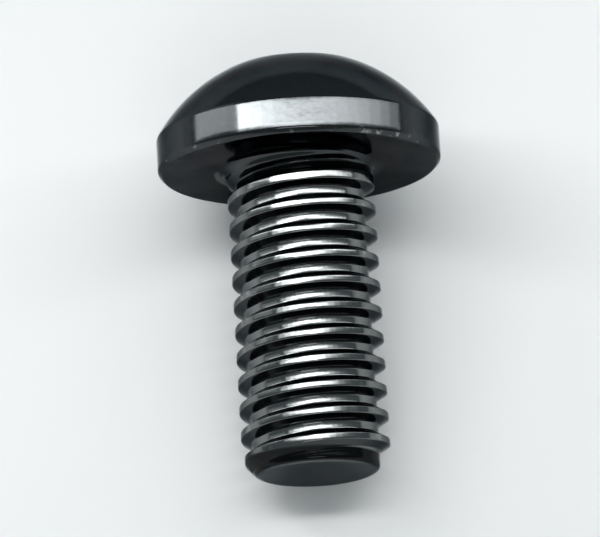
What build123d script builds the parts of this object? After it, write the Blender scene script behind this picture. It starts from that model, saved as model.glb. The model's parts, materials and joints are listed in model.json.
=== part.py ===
from build123d import *
from math import atan2, ceil, cos, degrees, hypot, radians, sin, sqrt, tan
import os

# Button head screw with a hexagon socket: one piece of steel, lying as it comes to rest.
# Lengths are in mm and angles in degrees. The screw is made upright: height 0 is the seat
# under the head, the crown is above it and the tip below. Then it is laid down.

# ---- head ----
head_dia = 7.5             # across the rim
head_height = 2.7          # seat to crown
rim_height = 0.95          # straight band between the seat and the dome
crown_dia = 3.6            # flat round the socket
seat_chamfer = 0.12        # on the rim's edge at the seat
crease_round = 0.3         # where the rim turns into the dome
crown_round = 0.12         # where the dome turns into the crown

# ---- socket ----
socket_across_flats = 2.5
socket_depth = 1.5         # straight walls
socket_point_angle = 120   # drilled bottom, whole angle
mouth_lead = 0.05          # how far the countersink runs past the hexagon's corners
mouth_angle = 120          # countersink, whole angle

# ---- shank and thread ----
shank_length = 8.25        # seat to tip
thread_dia = 3.9           # across the crests
thread_pitch = 0.7
flank_angle = 60           # between the two flanks
depth_per_pitch = 0.6134   # metric outside thread, crest to root
crest_per_pitch = 0.125    # width of the flat crest
neck_fillet = 0.25         # under the head
tip_chamfer = 0.45         # along the axis and across it
runout_turns = 0.5         # over these the groove climbs out under the head
lead_in_turns = 1          # at least this much of the groove runs on beyond the tip
cutter_clear = 0.05        # how far the groove's section stands clear of the crests

# ---- sizes that follow ----
head_radius = head_dia / 2
crown_radius = crown_dia / 2
thread_radius = thread_dia / 2
tip_radius = thread_radius - tip_chamfer

# The dome is part of a ball centred on the axis, through the rim's top and the crown's edge.
ball_centre = (head_height**2 - rim_height**2 + crown_radius**2 - head_radius**2) / (
    2 * (head_height - rim_height)
)
ball_radius = hypot(head_radius, rim_height - ball_centre)
dome_start = degrees(atan2(rim_height - ball_centre, head_radius))
dome_end = degrees(atan2(head_height - ball_centre, crown_radius))

socket_radius = socket_across_flats / 2
socket_floor = head_height - socket_depth
socket_point = socket_radius / tan(radians(socket_point_angle / 2))
mouth_radius = socket_across_flats / sqrt(3) + mouth_lead
mouth_depth = mouth_radius / tan(radians(mouth_angle / 2))

# The groove's section is a trapezium that opens outwards at the flank angle.
flank_slope = tan(radians(flank_angle / 2))
thread_depth = depth_per_pitch * thread_pitch
root_radius = thread_radius - thread_depth
cutter_height = thread_depth + cutter_clear
groove_at_crest = thread_pitch * (1 - crest_per_pitch)
root_half = groove_at_crest / 2 - thread_depth * flank_slope
clear_half = groove_at_crest / 2 + cutter_clear * flank_slope

# The groove is set out from the neck: it climbs out there, and whole turns at full depth
# lead down from it past the tip.
runout_length = runout_turns * thread_pitch
runout_start = -neck_fillet / 2 - clear_half - runout_length
runout_angle = degrees(atan2(cutter_height, runout_length))
groove_turns = ceil((runout_start + shank_length) / thread_pitch + lead_in_turns)
turn_starts = [(0, 0, runout_start - (i + 1) * thread_pitch) for i in range(groove_turns)]

# ---- rest: the floor touches the rim and the last two crests ----
# The chamfer cuts the last crest back to a corner, and the one before it is the last at full
# height. Only with that one last_crest from the seat does a straight line from the rim touch
# its edge and the corner too. The screw's weight is lowest there, so it stops rolling there.
# past_chamfer is how far beyond the chamfer's start the groove between the two crests ends.
chamfer_start = shank_length - tip_chamfer
rest_rise = head_radius - thread_radius
half_run = (chamfer_start + seat_chamfer - groove_at_crest + rest_rise * flank_slope) / 2
rest_square = rest_rise * groove_at_crest * (1 + flank_slope)
past_chamfer = sqrt(half_run**2 + rest_square) - half_run
last_crest = chamfer_start + past_chamfer - groove_at_crest
lean = atan2(rest_rise, last_crest + seat_chamfer)
seat_z = last_crest * sin(lean) + thread_radius * cos(lean)
reach_back = head_height * cos(lean) + crown_radius * sin(lean)
reach_front = shank_length * cos(lean) + tip_radius * sin(lean)
seat_y = (reach_front - reach_back) / 2

# The groove between the two crests is centred half its width beyond last_crest, and this is
# the angle round the screw at which it is.
crest_turn = 360 * (-last_crest - groove_at_crest / 2 - runout_start) / thread_pitch

# The crown points back and up, and the side at that angle turns down to the floor.
seat_plane = Plane(
    origin=(0, seat_y, seat_z),
    x_dir=(0, sin(lean), -cos(lean)),
    z_dir=(0, cos(lean), sin(lean)),
)

os.makedirs("parts", exist_ok=True)

# What one right-hand turn of the groove takes out.
with BuildPart() as groove_turn:
    with BuildLine() as turn_path:
        Helix(thread_pitch, thread_pitch, root_radius)
    with BuildSketch(Plane(turn_path.line @ 0, x_dir=(1, 0, 0), z_dir=turn_path.line % 0)):
        with BuildLine():
            Polyline(
                (0, -root_half),
                (cutter_height, -clear_half),
                (cutter_height, clear_half),
                (0, root_half),
                close=True,
            )
        make_face()
    sweep(path=turn_path.line, is_frenet=True)

# What its end takes out: the same section on a cone, so that it climbs through the crests.
with BuildPart() as groove_end:
    with BuildLine() as end_path:
        Helix(thread_pitch, runout_length, root_radius, cone_angle=runout_angle)
    with BuildSketch(Plane(end_path.line @ 0, x_dir=(1, 0, 0), z_dir=end_path.line % 0)):
        with BuildLine():
            Polyline(
                (0, -root_half),
                (cutter_height, -clear_half),
                (cutter_height, clear_half),
                (0, root_half),
                close=True,
            )
        make_face()
    sweep(path=end_path.line, is_frenet=True)

with BuildPart() as upright:
    # Head and shank are one turned blank, with its corners eased in the outline.
    with BuildSketch(Plane.XZ) as blank:
        with BuildLine():
            Polyline(
                (0, head_height),
                (0, -shank_length),
                (tip_radius, -shank_length),
                (thread_radius, tip_chamfer - shank_length),
                (thread_radius, 0),
                (head_radius, 0),
                (head_radius, rim_height),
            )
            CenterArc((0, ball_centre), ball_radius, dome_start, dome_end - dome_start)
            Line((crown_radius, head_height), (0, head_height))
        make_face()
        fillet(blank.vertices().sort_by_distance((thread_radius, 0))[0], neck_fillet)
        chamfer(blank.vertices().sort_by_distance((head_radius, 0))[0], seat_chamfer)
        fillet(blank.vertices().sort_by_distance((head_radius, rim_height))[0], crease_round)
        fillet(blank.vertices().sort_by_distance((crown_radius, head_height))[0], crown_round)
    revolve(axis=Axis.Z)

    # The hexagon is pressed into the crown over a drilled point, and its mouth is countersunk.
    with BuildSketch(Plane.XY.offset(head_height)):
        RegularPolygon(radius=socket_radius, side_count=6, major_radius=False)
    extrude(amount=-socket_depth, mode=Mode.SUBTRACT)
    with BuildSketch(Plane.XZ):
        with BuildLine():
            Polyline(
                (0, socket_floor),
                (0, socket_floor - socket_point),
                (socket_radius, socket_floor),
                close=True,
            )
        make_face()
        with BuildLine():
            Polyline(
                (0, head_height),
                (0, head_height - mouth_depth),
                (mouth_radius, head_height),
                close=True,
            )
        make_face()
    revolve(axis=Axis.Z, mode=Mode.SUBTRACT)

    # The thread is cut turn by turn down past the tip, and ends at the neck.
    with Locations(*turn_starts):
        add(groove_turn.part, mode=Mode.SUBTRACT)
    with Locations((0, 0, runout_start)):
        add(groove_end.part, mode=Mode.SUBTRACT)

with BuildPart() as screw:
    with Locations(seat_plane):
        add(upright.part, rotation=(0, 0, -crest_turn))

screw.part.label = "screw"
export_step(screw.part, "parts/screw.step")
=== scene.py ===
# %% [markdown]
# # A black button head screw
#
# This machine screw is small, glossy and black, so almost all that shows is reflection. Its
# shape is therefore made much finer here than in the solid that carries it: every edge is eased,
# because a sharp edge catches no light, and the thread's rows of faces run along its own helix.
#
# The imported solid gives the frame. It says where the screw lies and how it leans, and nothing
# here moves it.

# %% Load the frame
import json
from math import cos, degrees, exp, hypot, pi, radians, sin, sqrt, tan

import bmesh
import bpy
import numpy as np
from mathutils import Matrix, Vector


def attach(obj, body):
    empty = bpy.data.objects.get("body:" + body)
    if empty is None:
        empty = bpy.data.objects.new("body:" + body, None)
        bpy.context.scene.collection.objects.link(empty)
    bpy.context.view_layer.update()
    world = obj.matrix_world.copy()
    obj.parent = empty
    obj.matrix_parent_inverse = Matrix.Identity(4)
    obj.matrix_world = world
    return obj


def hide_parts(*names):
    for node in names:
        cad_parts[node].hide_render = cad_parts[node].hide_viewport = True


MM = 0.001


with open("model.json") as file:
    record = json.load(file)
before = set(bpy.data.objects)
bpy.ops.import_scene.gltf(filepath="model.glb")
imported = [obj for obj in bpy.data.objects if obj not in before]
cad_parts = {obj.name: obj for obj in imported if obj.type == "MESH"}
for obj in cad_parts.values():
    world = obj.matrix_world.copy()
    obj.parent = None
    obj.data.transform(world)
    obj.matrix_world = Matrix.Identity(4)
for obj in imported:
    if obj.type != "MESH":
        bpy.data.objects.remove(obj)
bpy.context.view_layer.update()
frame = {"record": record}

# %% [markdown]
# ## Sizes
#
# The sizes are the screw's own, in millimetres, measured with the screw stood upright: height 0
# is the seat under the head, the crown is above it and the tip below. They could be read off
# the solid's mesh, but a thread is easier to follow when its pitch and angle have names.
#
# The flats on the crests and in the roots are wider than the solid's, because their width is
# the width of the bright bands on the thread. The flanks keep their angle, so the groove comes
# out shallower.

# %% Name the sizes
head_radius = 3.75
head_height = 2.7
rim_height = 0.95
crown_radius = 1.8
seat_chamfer = 0.12
crease_round = 0.15  # where the rim turns into the dome
crown_round = 0.12  # where the dome turns into the crown

socket_half = 1.25  # half the width across flats
socket_depth = 1.5
socket_point_angle = radians(120)
mouth_lead = 0.05  # how far the countersink runs past the hexagon's corners
mouth_radius = 2 * socket_half / sqrt(3) + mouth_lead
mouth_angle = radians(120)

shank_length = 8.25
thread_radius = 1.95
pitch = 0.7
flank_slope = tan(radians(30))
crest_flat = 0.16
root_flat = 0.2
thread_depth = (pitch - crest_flat - root_flat) / 2 / flank_slope
root_radius = thread_radius - thread_depth
neck_fillet = 0.25
tip_chamfer = 0.45
chamfer_start = tip_chamfer - shank_length
tip_radius = thread_radius - tip_chamfer

groove_start = -0.81  # height of the groove's middle at turn 0
runout_start = -0.62  # height from which it climbs out
runout_turns = 1.0
runout_rise = thread_depth + 0.05  # a little more than its depth, so that it closes
print("thread:", round(thread_depth, 3), "mm deep, root radius", round(root_radius, 3), "mm")

# %% [markdown]
# ## Where the screw lies
#
# The record names a `drive` mount: a point at the middle of the crown, with the screw's axis.
# Those two fix five of the six ways a body can lie. The sixth is the roll about the axis, and
# it follows from the rest: the floor touches the rim and the edge of the last full crest, so
# the lean tells how far along the shank that crest is. The groove beyond that crest is centred
# half its width further on, and the side of the screw where it passes there is turned down.
# The groove's width is the solid's here, because it is the solid that rests.

# %% Read the place from the frame
drive = next(mount for mount in frame["record"]["mounts"] if mount["name"] == "drive")
axis = Vector(drive["axis"]).normalized()
seat_centre = Vector(drive["pos_m"]) - head_height * MM * axis
to_the_right = Vector((1, 0, 0))
down_side = axis.cross(to_the_right)
third_side = axis.cross(down_side)

solid_groove = 0.875 * pitch
last_crest = (head_radius - thread_radius) / (axis.z / axis.y) - seat_chamfer
crest_turn = (-last_crest - solid_groove / 2 - groove_start) / pitch
print("last full crest,", round(last_crest, 3), "mm from the seat")

# %% [markdown]
# ## The outline of the head
#
# A real head is upset from wire in a die, then the socket is punched. The outline is a chain of
# straight lines and arcs, and each corner is eased. Points are (radius, height) pairs, and each
# is an array with one value for every column round the screw. That lets the same few functions
# draw the round head and the six-sided socket.

# %% Helpers that draw outlines
COLUMNS = 192
turn = np.linspace(0, 1, COLUMNS + 1)


def point(radius, height):
    """One place on the outline, repeated for every column."""
    return np.stack([radius + 0 * turn, height + 0 * turn])


def part_way(start, end, share):
    """The place at a share of the way: start plus share times the way from start to end."""
    return start + share * (end - start)


def line(start, end, steps):
    """Points from start up to, but not with, end, each at an even share of the way."""
    return part_way(start, end, np.arange(steps)[:, None, None] / steps)


def eased(before, corner, after, cut, steps=5):
    """A corner made soft: the parabola that leaves one side at A, `cut` before the corner B, and
    joins the other side at C, `cut` after it: (1-t)^2 A + 2t(1-t) B + t^2 C."""
    a = corner + cut * (before - corner) / np.linalg.norm(before - corner, axis=0)
    c = corner + cut * (after - corner) / np.linalg.norm(after - corner, axis=0)
    t = np.linspace(0, 1, steps)[:, None, None]
    return (1 - t) ** 2 * a + 2 * t * (1 - t) * corner + t**2 * c


def arc(radius_at, height_at, size, start, end, steps):
    """Points on a circle: centre plus size times (cosine, sine) of an angle that grows evenly."""
    angle = np.linspace(start, end, steps)[:, None]
    return np.stack([radius_at + size * np.cos(angle) + 0 * turn,
                     height_at + size * np.sin(angle) + 0 * turn], axis=1)


# %% [markdown]
# The hexagon needs one formula. The distance to a pair of flats is the radius times the cosine
# of the angle off their middle. A true hexagon keeps the largest of three such distances equal
# to half the width across flats. Taking a high power, adding and taking the root again is
# almost the largest, and it eases the six corners as a worn punch does. Inside the hexagon the
# drilled point ends in a ring a little off the flats, and the walls rise to the countersink.

# %% Draw the socket
CORNER_POWER = 48
RING_OFF_FLATS = 0.02
FLOOR_EASE = 0.008
MOUTH_EASE = 0.03
PAST_FLOOR_EASE = 0.05

flat_middles = np.arange(3)[:, None] * pi / 3
powers = np.abs(np.cos(2 * pi * turn - flat_middles)) ** CORNER_POWER
hexagon = socket_half / powers.sum(axis=0) ** (1 / CORNER_POWER)

socket_floor = head_height - socket_depth
drill_slope = tan(socket_point_angle / 2)
pole = point(0, socket_floor - socket_half / drill_slope)
ring = point(socket_half - RING_OFF_FLATS, socket_floor - RING_OFF_FLATS / drill_slope)
floor_edge = np.stack([hexagon, socket_floor + 0 * turn])
wall_top = np.stack([hexagon, head_height - (mouth_radius - hexagon) / tan(mouth_angle / 2)])
mouth_edge = point(mouth_radius, head_height)
crown_edge = point(crown_radius, head_height)

socket = np.concatenate([
    line(pole, ring, 8),
    ring[None],
    eased(ring, floor_edge, wall_top, FLOOR_EASE, 3),
    line(part_way(floor_edge, wall_top, PAST_FLOOR_EASE), wall_top, 8)[:-1],
    eased(floor_edge, wall_top, mouth_edge, MOUTH_EASE),
    eased(wall_top, mouth_edge, crown_edge, MOUTH_EASE),
])
print("socket:", len(socket), "rows")

# %% [markdown]
# The dome is part of a ball centred on the axis. Its two eased edges are smaller arcs that
# touch it from inside, so their centres lie on circles a little smaller than the ball.

# %% Draw the dome, rim and underside
PAST_MOUTH_EASE = 0.3
EDGE_EASE = 0.04
PAST_EDGE_EASE = 0.06

ball_at = (head_height**2 - rim_height**2 + crown_radius**2 - head_radius**2) / (
    2 * (head_height - rim_height))
ball = hypot(head_radius, rim_height - ball_at)
crown_at = sqrt((ball - crown_round) ** 2 - (head_height - crown_round - ball_at) ** 2)
crown_lean = np.arctan2(head_height - crown_round - ball_at, crown_at)
crease_at = head_radius - crease_round
crease_up = ball_at + sqrt((ball - crease_round) ** 2 - crease_at**2)
crease_lean = np.arctan2(crease_up - ball_at, crease_at)

rim_top = point(head_radius, crease_up)
rim_foot = point(head_radius, seat_chamfer)
seat_edge = point(head_radius - seat_chamfer, 0)
seat_root = point(thread_radius + neck_fillet, 0)

head = np.concatenate([
    line(part_way(mouth_edge, crown_edge, PAST_MOUTH_EASE), point(crown_at, head_height), 3),
    arc(crown_at, head_height - crown_round, crown_round, pi / 2, crown_lean, 7),
    arc(0, ball_at, ball, crown_lean, crease_lean, 42)[1:],
    arc(crease_at, crease_up, crease_round, crease_lean, 0, 12)[1:],
    line(rim_top, rim_foot, 10)[1:-1],
    eased(rim_top, rim_foot, seat_edge, EDGE_EASE),
    eased(rim_foot, seat_edge, seat_root, EDGE_EASE),
    line(part_way(seat_edge, seat_root, PAST_EDGE_EASE), seat_root, 12),
])
print("head:", len(head), "rows")

# %% [markdown]
# ## The thread
#
# A thread rolled between dies is one groove wound round the shank. It could be swept as a
# profile along a helix and cut away, but then two meshes must be joined. Here the side of the
# screw is one height field instead: for any angle and height, a formula gives the radius. The
# groove's floor and its two flanks meet softly, and so do the flanks and the crests. The crests
# also wander inwards by up to two thousandths of a millimetre, on two waves of sines, because
# no rolled crest is dead even.

# %% Write the thread as a formula
CREST_EASE = 0.01
ROOT_EASE = 0.02
TIP_EASE = 0.02  # on the crests that the tip's cone makes lower
CONE_EASE = 0.03  # where the cone meets the crests
TIP_SWELL = 0.06  # how much fuller the cone is than the solid's
CREST_WANDER = 0.0012
SLOW_WAVES, QUICK_WAVES = 3.1, 7.7  # in one pitch
QUICK_AHEAD = 2  # radians


def softly_larger(a, b, ease):
    """Nearly the larger of two values: half of their sum plus the root of their difference
    squared plus ease squared. It is a hyperbola that hugs both lines."""
    return (a + b + np.sqrt((a - b) ** 2 + ease**2)) / 2


def softly_smaller(a, b, ease):
    """Nearly the smaller of two values: the larger of their opposites, turned back."""
    return -softly_larger(-a, -b, ease)


def side_radius(turns, height, swell=0.0):
    """The screw's radius at an angle, in turns, and a height. `swell` is added to the shank.

    The groove's middle climbs one pitch in a turn. Off its middle the wall rises at the flank's
    slope. Past its last full turn the whole groove climbs outwards, until the shank closes over
    it. Each crest is as high as the tip's cone allows at its own middle, because a rolled crest
    is pressed up whole. The screw keeps the lowest of crest, cone and groove."""
    along = (height - groove_start) / pitch - turns
    full = (runout_start - groove_start) / pitch
    deepest = np.full(np.broadcast(turns, height).shape, np.inf)
    for nearest in (np.floor(along), np.ceil(along)):
        off_middle = np.abs(along - nearest) * pitch
        climb = runout_rise * np.clip((nearest + turns - full) / runout_turns, 0, 1)
        flank = root_radius + (off_middle - root_flat / 2) / flank_slope
        deepest = np.minimum(deepest, softly_larger(root_radius, flank, ROOT_EASE) + climb)
    wander = np.sin(2 * pi * SLOW_WAVES * height / pitch)
    wander = wander + np.sin(2 * pi * QUICK_WAVES * height / pitch + QUICK_AHEAD)
    crest_height = groove_start + (np.floor(along) + 0.5 + turns) * pitch
    cone_at_crest = thread_radius - (chamfer_start - crest_height)
    crest = thread_radius - CREST_WANDER * (1 + wander / 2)
    crest = softly_smaller(crest, np.maximum(cone_at_crest, root_radius), TIP_EASE)
    cone = thread_radius - (chamfer_start - height) + TIP_SWELL
    shank = softly_smaller(crest, cone, CONE_EASE) + swell
    return softly_smaller(shank, deepest, CREST_EASE)


def side_rows(heights, swell=0.0):
    """Outline points on the screw's side at these heights: the formula's radius and the height."""
    return np.stack([side_radius(turn, heights, swell), heights + 0 * turn], axis=1)


# %% [markdown]
# Rows that ran level round the shank would cross the crests at a slant and leave them jagged.
# So each row climbs one pitch in its turn, as the crest does, and after a whole turn it arrives
# where another row began. Rows that climb past either end are held at the end, and points that
# fall together are welded afterwards. The rows stand closer at the edges of crest and root,
# where the surface bends: the crowding falls off from there as a bell curve, and each row gets
# an even share of it.

# %% Lay the rows along the helix
ROWS_PER_PITCH = 25
CREST_CROWDING, CREST_REACH = 7, 0.022
ROOT_CROWDING, ROOT_REACH = 5, 0.03

fine = np.linspace(-pitch / 2, pitch / 2, 2001)
crest_edge = (pitch - crest_flat) / 2
root_edge = root_flat / 2
crowding = 1 + CREST_CROWDING * np.exp(-(((np.abs(fine) - crest_edge) / CREST_REACH) ** 2))
crowding += ROOT_CROWDING * np.exp(-(((np.abs(fine) - root_edge) / ROOT_REACH) ** 2))
share = np.cumsum(crowding) / crowding.sum()
in_pitch = np.interp((np.arange(ROWS_PER_PITCH) + 0.5) / ROWS_PER_PITCH, share, fine)

thread_top = -neck_fillet
first_turn = int((chamfer_start - pitch - groove_start) / pitch) - 1
last_turn = int((thread_top - groove_start) / pitch) + 1
middles = groove_start + np.arange(first_turn, last_turn + 1)[:, None] * pitch
starts = (middles + in_pitch).ravel()[::-1]
starts = starts[(starts < thread_top) & (starts > chamfer_start - pitch)]
thread = side_rows(np.clip(starts[:, None] + pitch * turn, chamfer_start, thread_top))
print("thread:", len(thread), "rows")

# %% [markdown]
# Above the thread a fillet leads out to the seat. It is a quarter of a circle, and the same
# formula draws it: the circle's distance from the shank is the swell that is added.

# %% Draw the neck
neck_angle = np.linspace(pi / 2, pi, 14)[:, None]
neck_heights = neck_fillet * (np.sin(neck_angle) - 1)
neck_swell = neck_fillet * (1 + np.cos(neck_angle))
neck = side_rows(neck_heights, neck_swell)
print("neck:", len(neck), "rows")

# %% [markdown]
# The tip is a cone that cuts through the last turn. Its rows lie level, because both its edges
# do. The end face has an eased edge and closes the mesh at its middle.

# %% Draw the tip
FACE_EASE = 0.06
FACE_INSET = 0.1

tip = side_rows(np.linspace(chamfer_start, -shank_length + FACE_EASE, 30)[:, None])
end_edge = point(tip_radius, -shank_length)
end_middle = point(0, -shank_length)
end_face = np.concatenate([
    eased(tip[-1], end_edge, end_middle, FACE_EASE, 7)[1:],
    line(point(tip_radius - FACE_INSET, -shank_length), end_middle, 6),
    end_middle[None],
])
print("tip:", len(tip) + len(end_face), "rows")

# %% [markdown]
# ## One closed mesh
#
# The rows now stack into one grid of radius and height. A point's angle, radius and height
# become a place in the frame, and neighbouring rows and columns share a face.

# %% Stack the rows into a grid
outline = np.concatenate([socket, head, neck, thread, tip, end_face])
angle = 2 * pi * (turn - crest_turn)
radius, height = outline[:, 0], outline[:, 1]
places = (
    np.array(seat_centre)
    + MM * (radius * np.cos(angle))[..., None] * np.array(down_side)
    + MM * (radius * np.sin(angle))[..., None] * np.array(third_side)
    + MM * height[..., None] * np.array(axis)
)
numbers = np.arange(radius.size).reshape(radius.shape)
faces = np.stack(
    [numbers[:-1, :-1], numbers[1:, :-1], numbers[1:, 1:], numbers[:-1, 1:]], axis=-1)
print("grid:", radius.shape[0], "rows of", radius.shape[1], "points")

# %% [markdown]
# Many points of the grid coincide. The weld joins the first column to the last, the climbing
# rows to each other and each pole to one point. A closed mesh has no open edge left, and its
# volume comes out positive when its faces point outwards.

# %% Weld it closed
WELD = 0.0009 * MM

mesh = bpy.data.meshes.new("steel_screw")
mesh.from_pydata(places.reshape(-1, 3).tolist(), [], faces.reshape(-1, 4).tolist())
work = bmesh.new()
work.from_mesh(mesh)
bmesh.ops.remove_doubles(work, verts=work.verts, dist=WELD)
open_edges = sum(not edge.is_manifold for edge in work.edges)
if work.calc_volume(signed=True) < 0:
    bmesh.ops.reverse_faces(work, faces=work.faces)
triangles = sum(len(face.verts) - 2 for face in work.faces)
print("screw:", len(work.faces), "faces,", triangles, "triangles,", open_edges, "open edges,",
      round(work.calc_volume() / MM**3, 2), "mm3")
work.to_mesh(mesh)
work.free()
mesh.shade_smooth()

# %% [markdown]
# The screw is one loose piece, so it rides on the model's only body. It takes the place of the
# solid, which is then not shown, and its material has a slot of its own.

# %% Put it in the frame
screw = bpy.data.objects.new("steel_screw", mesh)
bpy.context.scene.collection.objects.link(screw)
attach(screw, "root")
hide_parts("screw")
print("steel_screw rides on root and replaces screw")

# %% [markdown]
# ## Shader maths as Python
#
# A node graph is hard to read as code, so a small class wraps one socket. Adding, taking away,
# multiplying and powers then add the Math nodes by themselves, and one method adds any other
# node.


# %% Wrap a socket
class Wire:
    """One output of a shader node, with arithmetic that adds Math nodes."""

    def __init__(self, tree, socket=None):
        self.tree, self.socket = tree, socket

    def node(self, kind, settings=None, output=0, **inputs):
        """Add a node: its settings first, then a value or a link for each named socket. A socket
        that shares its name with others goes by its number, as in _6."""
        made = self.tree.nodes.new(kind)
        for name, value in (settings or {}).items():
            setattr(made, name, value)
        for name, value in inputs.items():
            key = int(name[1:]) if name[0] == "_" else name.replace("_", " ")
            if isinstance(value, Wire):
                self.tree.links.new(value.socket, made.inputs[key])
            else:
                made.inputs[key].default_value = value
        return Wire(self.tree, made.outputs[output])

    def into(self, shader, name):
        """Lead this wire into a named socket of a shader."""
        self.tree.links.new(self.socket, shader.inputs[name])

    def maths(self, operation, a, b):
        """Add a Math node on two wires or numbers."""
        return self.node("ShaderNodeMath", {"operation": operation}, _0=a, _1=b)

    def __add__(self, other):
        return self.maths("ADD", self, other)

    def __radd__(self, other):
        return self.maths("ADD", other, self)

    def __sub__(self, other):
        return self.maths("SUBTRACT", self, other)

    def __rsub__(self, other):
        return self.maths("SUBTRACT", other, self)

    def __mul__(self, other):
        return self.maths("MULTIPLY", self, other)

    def __rmul__(self, other):
        return self.maths("MULTIPLY", other, self)

    def __pow__(self, other):
        return self.maths("POWER", self, other)


# %% [markdown]
# ## Black oxide
#
# The real screw is steel that was blackened in a hot salt bath and oiled. The black layer is
# about a thousandth of a millimetre thick, so it hides no shape. It could be painted as black
# plastic, but it shines as metal does and gives back about a twentieth of the light. So it is a
# full metal with a very dark colour. A low specular tint keeps it dark where it is seen at a
# slant, and the oil is a thin clear coat on top.


# %% Blacken the steel
def new_material(name):
    """A new material and its surface shader."""
    material = bpy.data.materials.new(name)
    material.use_nodes = True
    return material, material.node_tree.nodes["Principled BSDF"]


steel, steel_shader = new_material("black_steel")
steel_shader.inputs["Metallic"].default_value = 1.0
steel_shader.inputs["Specular Tint"].default_value = (0.28, 0.3, 0.31, 1)
steel_shader.inputs["Coat Roughness"].default_value = 0.08
mesh.materials.append(steel)
graph = Wire(steel.node_tree)
here = graph.node("ShaderNodeTexCoord", output="Object")


def noise(patches, detail):
    """Smooth random values between 0 and 1, with so many patches to the metre."""
    return graph.node("ShaderNodeTexNoise", Vector=here, Scale=patches, Detail=detail)


def rising(value, low, high):
    """0 below `low`, 1 above `high` and an S-curve between. With `low` above `high` it falls."""
    return graph.node(
        "ShaderNodeMapRange", {"interpolation_type": "SMOOTHSTEP"},
        Value=value, From_Min=low, From_Max=high)


def blend_colours(mask, under, over):
    """The colour `under` where the mask is 0, and `over` where it is 1. The node mixes numbers
    and vectors too, so its colour sockets go by number."""
    return graph.node(
        "ShaderNodeMix", {"data_type": "RGBA"}, output=2, Factor=mask, _6=under, _7=over)


# %% [markdown]
# The finish is even, but not perfectly so. Oil lies in clouds about a millimetre across. The
# oxide has a grain of about a tenth of a millimetre, which shows more as a change of gloss than
# of colour. Tumbling in a barrel with other screws leaves shallow waves that bend a reflection
# a little. Each is one noise texture at its own scale.

# %% Add clouds, grain and waves
SMOOTHEST, CLOUDS_DULL, GRAIN_DULLS = 0.07, 0.05, 0.06
OIL_AT_LEAST, OIL_IN_CLOUDS = 0.03, 0.3
WAVE_HEIGHT, WAVE_SHARE = 0.02 * MM, 0.22
GRAIN_HEIGHT, GRAIN_SHARE = 0.01 * MM, 0.06
DARK_OXIDE = (0.039, 0.043, 0.0445, 1)
PALE_OXIDE = (0.06, 0.065, 0.067, 1)

clouds = noise(patches=900.0, detail=3.0)
grain = noise(patches=9000.0, detail=4.0)
waves = noise(patches=1600.0, detail=2.0)

(SMOOTHEST + CLOUDS_DULL * clouds + GRAIN_DULLS * grain).into(steel_shader, "Roughness")
(OIL_AT_LEAST + OIL_IN_CLOUDS * clouds).into(steel_shader, "Coat Weight")
wavy = graph.node("ShaderNodeBump", Strength=WAVE_SHARE, Distance=WAVE_HEIGHT, Height=waves)
grainy = graph.node(
    "ShaderNodeBump", Strength=GRAIN_SHARE, Distance=GRAIN_HEIGHT, Height=grain, Normal=wavy)
grainy.into(steel_shader, "Normal")
oxide = blend_colours(grain, DARK_OXIDE, PALE_OXIDE)
print("black_steel:", len(steel.node_tree.nodes), "nodes for an even finish")

# %% [markdown]
# Some places look different on a rolled screw. The dies burnish the crests and the roots of the
# thread, so these shine most. The tip's chamfer is painted near black: this is painted shade, in
# place of the dark reflection that the chamfer shows of what lies below and in front of it. The
# end face is the clean cut of the wire. The crests and the lower edge of the head are what rubs
# against other screws, so the oxide there is worn thin in small spots. The shader finds each
# place by its height along the axis and its distance from it, which is the root of the whole
# distance squared less the height squared.

# %% Tell the zones apart
from_seat = graph.node(
    "ShaderNodeVectorMath", {"operation": "SUBTRACT"}, _0=here, _1=tuple(seat_centre))
along = graph.node(
    "ShaderNodeVectorMath", {"operation": "DOT_PRODUCT"}, output="Value",
    _0=from_seat, _1=tuple(axis))
whole = graph.node(
    "ShaderNodeVectorMath", {"operation": "LENGTH"}, output="Value", _0=from_seat)
from_axis = (whole**2 - along**2) ** 0.5


def zone(value, size, off, full):
    """0 where the value is the size plus `off` millimetres, 1 where it is the size plus `full`
    and an S-curve between. It stays 0 or 1 on either side."""
    return rising(value, (size + off) * MM, (size + full) * MM)


on_tip = zone(along, chamfer_start, off=-0.03, full=-0.1)
off_end = zone(along, -shank_length, off=0.005, full=0.05)
on_crest = zone(from_axis, thread_radius, off=-0.03, full=-0.005)
on_crest = on_crest * zone(along, 0, off=-0.3, full=-0.5)
in_root = zone(from_axis, root_radius, off=0.06, full=0.03)
on_seat_edge = zone(from_axis, head_radius, off=-0.15, full=-0.08)
on_seat_edge = on_seat_edge * zone(along, 0, off=0.2, full=0.1)
rubbed = rising(noise(patches=3200.0, detail=3.0), low=0.6, high=0.7)

# %% Colour them
BURNISHED = (0.175, 0.183, 0.183, 1)
WORN_THIN = (0.26, 0.267, 0.267, 1)
CUT_WIRE = (0.11, 0.115, 0.118, 1)
PAINTED_SHADE_ON_CHAMFER = (0.008, 0.009, 0.0095, 1)

colour = blend_colours(on_crest + in_root, oxide, BURNISHED)
colour = blend_colours((on_crest + on_seat_edge) * rubbed, colour, WORN_THIN)
colour = blend_colours(on_tip * (1 - off_end), colour, CUT_WIRE)
# Painted shade: the chamfer is turned near black, darker than the oxide, to stand in for a dark
# reflection.
colour = blend_colours(on_tip * off_end, colour, PAINTED_SHADE_ON_CHAMFER)
colour.into(steel_shader, "Base Color")
print("black_steel:", len(steel.node_tree.nodes), "nodes in all")

# %% [markdown]
# ## The floor
#
# A plain sheet of white paper, large enough that no edge shows. It is a mesh and not a world
# colour, because the screw has to cast a shadow on it and to mirror it. It is part of the stage
# and not of the screw.

# %% Lay the floor
PAPER_HALF = 2.0

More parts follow.
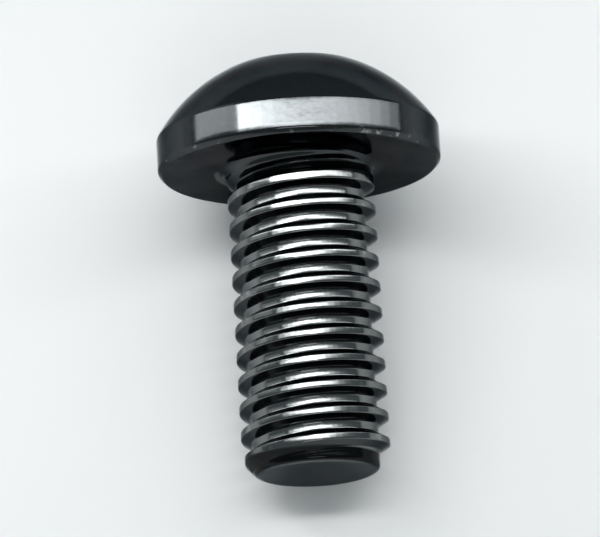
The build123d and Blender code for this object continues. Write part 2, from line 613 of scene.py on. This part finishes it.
floor_mesh = bpy.data.meshes.new("floor")
corners = PAPER_HALF * np.array([[-1, -1, 0], [1, -1, 0], [1, 1, 0], [-1, 1, 0]])
floor_mesh.from_pydata(corners.tolist(), [], [(0, 1, 2, 3)])
floor = bpy.data.objects.new("floor", floor_mesh)
bpy.context.scene.collection.objects.link(floor)
paper, paper_shader = new_material("white_paper")
paper_shader.inputs["Base Color"].default_value = (0.9, 0.9, 0.9, 1)
paper_shader.inputs["Roughness"].default_value = 0.9
floor_mesh.materials.append(paper)
print("floor:", 2 * PAPER_HALF, "m square")

# %% [markdown]
# ## The light
#
# On a glossy black part the lamps are what is seen. So they are flat and soft, and each is set
# by its radiance, which is how bright its face looks, because that is what the screw mirrors. A
# soft grey room fills in between them. All of it together lights white paper to just under
# white.

# %% Light the room and make a lamp
world = bpy.data.worlds.new("room")
world.use_nodes = True
room_shader = world.node_tree.nodes["Background"]
room_shader.inputs["Color"].default_value = (0.205, 0.24, 0.25, 1)
room_shader.inputs["Strength"].default_value = 1.0
bpy.context.scene.world = world


def add_lamp(name, place, up, width, height, radiance, lit=(0, 0, 0)):
    """A flat lamp that faces the place `lit`, with its width across the `up` direction. Its
    energy is its radiance times pi times its area."""
    back = (Vector(place) - Vector(lit)).normalized()
    across = Vector(up).cross(back).normalized()
    lamp_data = bpy.data.lights.new(name, "AREA")
    lamp_data.shape = "RECTANGLE"
    lamp_data.size, lamp_data.size_y = width, height
    lamp_data.energy = radiance * pi * width * height
    lamp = bpy.data.objects.new(name, lamp_data)
    facing = Matrix((across, back.cross(across), back)).transposed().to_4x4()
    lamp.matrix_world = Matrix.Translation(place) @ facing
    bpy.context.scene.collection.objects.link(lamp)
    return lamp_data.energy


# %% [markdown]
# A cylinder mirrors each lamp as a line along its length, and a flat crest only mirrors it when
# the lamp stands just where the eye's ray goes after the bounce. For an eye that looks a little
# from the tip's side, those places make a cone round the screw's own axis. So the main light is
# an arch of flat lamps on that cone.
#
# The head's rim is to mirror it from side to side, bright on the left and dimmer to the right,
# but the thread only along its middle. Rim and thread face the same way, so an arch far off
# looks the same in both. Small cards close by don't: the rim's rays and the thread's run side by
# side, a few millimetres apart, and a card of that width stands in the rim's alone. Each step
# of the arch is therefore shared between a far lamp and a near card, and the cards take more
# of it towards both ends. One long dim card carries the rim's light on to its left end. A wall
# of light stands on the left, and a lamp stands in front where none of the screw's large faces
# mirrors it, so it lights little but the paper.

# %% Find the places on the arch
TOWARDS_HEAD = 0.25  # the sine of the eye's angle off square to the axis
FAR_AWAY, FAR_DEPTH = 0.4, 0.036
CARD_AWAY, CARD_DEPTH, CARD_RAISED = 0.03, 0.0028, 0.00135

outwards = sqrt(1 - TOWARDS_HEAD**2)
straight_up = -down_side


def around(angle):
    """The direction square to the axis at an angle from straight above the screw: the sine to
    the right and the cosine up."""
    return sin(angle) * to_the_right + cos(angle) * straight_up


def spoke(angle):
    """The same, leaned towards the head as far as the eye's ray is after the bounce."""
    return TOWARDS_HEAD * axis + outwards * around(angle)


def add_far(first, last, radiance):
    """A lamp of the arch, between two angles. Its width is twice its distance square to the axis
    times the tangent of half the angle between."""
    width = 2 * FAR_AWAY * outwards * tan((last - first) / 2)
    return add_lamp(
        "arch", FAR_AWAY * spoke((first + last) / 2), axis, width, FAR_DEPTH, radiance)


def rim_sees(angle):
    """Where a card stands that the rim shows at this angle of the arch. The rim's own angle is
    half of it, because a mirror that turns by an angle turns what it shows by twice as much."""
    return seat_centre + head_radius * MM * around(angle / 2) + CARD_AWAY * spoke(angle)


def add_card(first, last, radiance):
    """A card between two angles of the arch, as the rim shows them."""
    left, right = rim_sees(first), rim_sees(last)
    middle = (left + right) / 2 + CARD_RAISED * axis
    return add_lamp(
        "card", middle, axis, (right - left).length, CARD_DEPTH, radiance, seat_centre)


# %% Raise the arch, hang the cards and light the sides
ARCH_FROM, ARCH_TO = radians(-48), radians(92)
ARCH_STEPS = 14
BRIGHTEST, DIMMEST = 23.0, 1.5
THREAD_MIDDLE, THREAD_SEES = radians(3), radians(30)
LEFT_FROM, LEFT_RADIANCE = radians(-90), 3.4

power = add_card(LEFT_FROM, ARCH_FROM, LEFT_RADIANCE)
power += add_lamp(
    "left_wall", (-0.32, 0.19, 0.13), up=(0, 0, 1), width=0.28, height=0.25, radiance=0.5)
power += add_lamp(
    "front_fill", (0, -0.275, 0.29), up=(0, 0, 1), width=0.2, height=0.15, radiance=2.9)
step = (ARCH_TO - ARCH_FROM) / ARCH_STEPS
for number in range(ARCH_STEPS):
    first, last = ARCH_FROM + number * step, ARCH_FROM + (number + 1) * step
    wanted = BRIGHTEST + (number + 0.5) / ARCH_STEPS * (DIMMEST - BRIGHTEST)
    far_share = exp(-((((first + last) / 2 - THREAD_MIDDLE) / THREAD_SEES) ** 2))
    power += add_far(first, last, wanted * far_share)
    power += add_card(first, last, wanted * (1 - far_share))
print("lamps:", 2 * ARCH_STEPS + 3, "with", round(power, 2), "W in all")

# %% [markdown]
# ## The camera
#
# The eye looks down at 62 degrees, from the tip's side. A long lens keeps the two ends of the
# screw nearly the same scale, and the small roll leans the shank to the lower right. The
# direction is written as two angles and the place as a distance along it, so each can be
# changed by itself.

# %% Set the camera
view_azimuth = radians(1.0)
view_elevation = radians(62.0)
view_roll = radians(-4.36)
view_distance = 0.150
look_at = Vector((-0.00014, -0.00009, 0.00326))

towards_eye = Vector((
    sin(view_azimuth) * cos(view_elevation),
    -cos(view_azimuth) * cos(view_elevation),
    sin(view_elevation)))
camera_data = bpy.data.cameras.new("camera")
camera_data.sensor_width = 36
camera_data.lens = 342.5
camera_data.clip_start, camera_data.clip_end = 0.01, 5
camera = bpy.data.objects.new("camera", camera_data)
facing = (-towards_eye).to_track_quat("-Z", "Y").to_matrix().to_4x4()
camera.matrix_world = (
    Matrix.Translation(look_at + view_distance * towards_eye)
    @ facing @ Matrix.Rotation(view_roll, 4, "Z"))
bpy.context.scene.collection.objects.link(camera)
bpy.context.scene.camera = camera
bpy.context.scene.view_settings.view_transform = "Standard"
print("the eye is", round(degrees(towards_eye.angle(axis)) - 90, 1),
      "degrees off square to the axis, on the tip's side")
